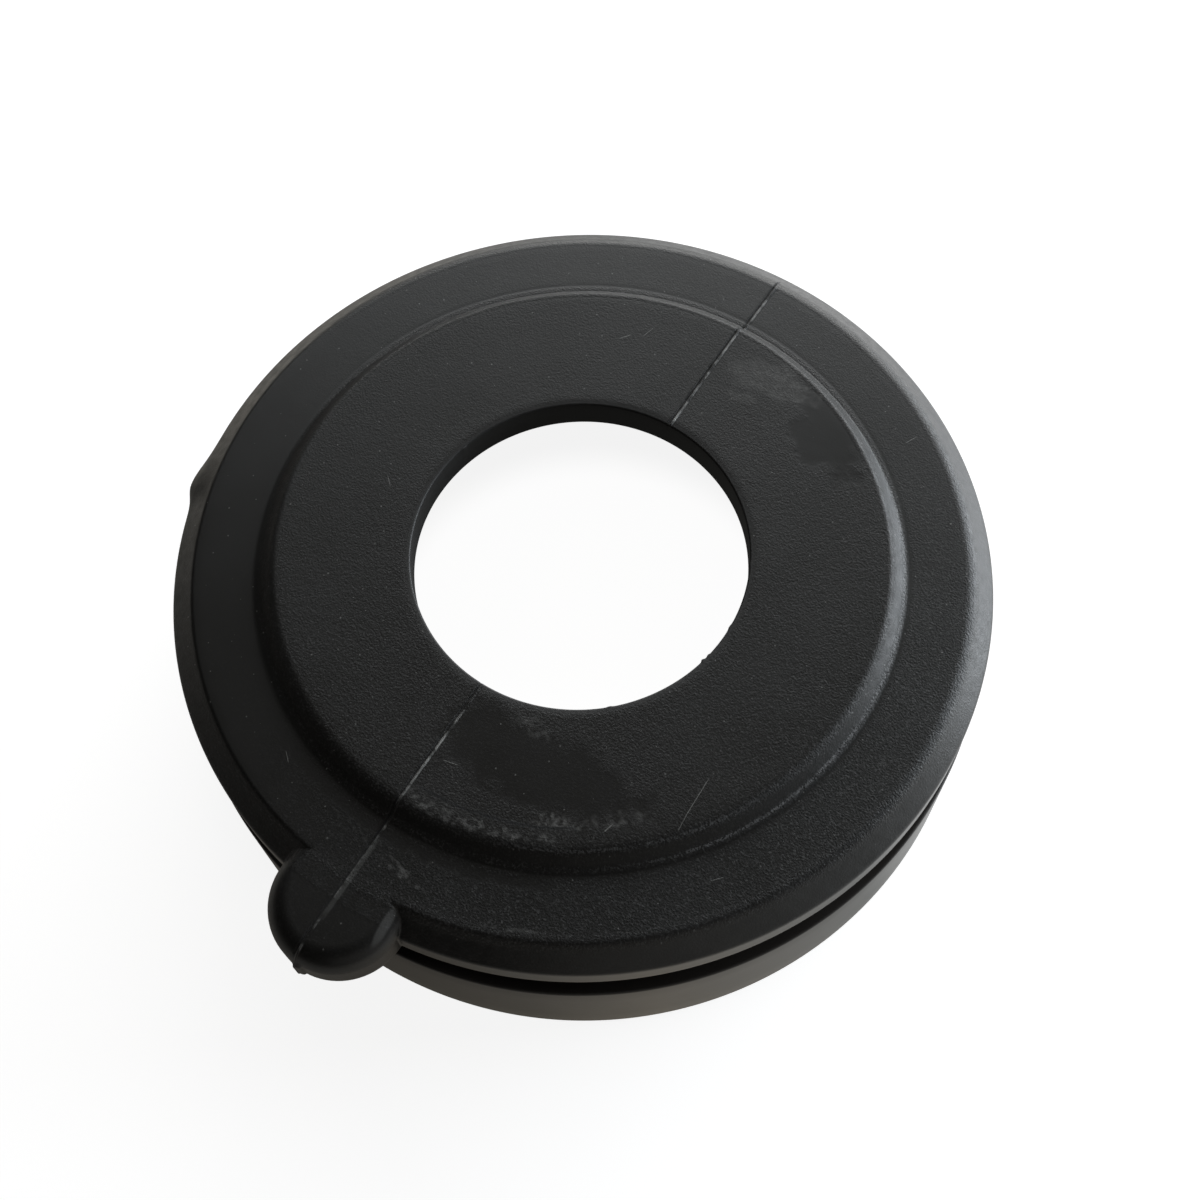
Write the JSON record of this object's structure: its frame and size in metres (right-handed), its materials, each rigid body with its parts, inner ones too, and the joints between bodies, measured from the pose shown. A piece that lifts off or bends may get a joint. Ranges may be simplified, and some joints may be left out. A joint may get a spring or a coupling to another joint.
{
  "type": "rubber grommet",
  "caption": "Moulded rubber grommet with a bevelled flange, raised ring, pipe bore, panel groove, hollow skirt and pull tab.",
  "frame": {"origin": "on the bore's axis, in the plane of the flange's flat face", "axes": "+Z out of the flange's face along the bore, -Y towards the pull tab, the mould's parting line in the YZ plane"},
  "size_m": [0.0804, 0.0868, 0.0235],
  "materials": {
    "black_rubber": "matte, sand-blasted grain on the flat faces"
  },
  "bodies": {
    "root": {"grommet_body": "black_rubber"}
  },
  "joints": []
}
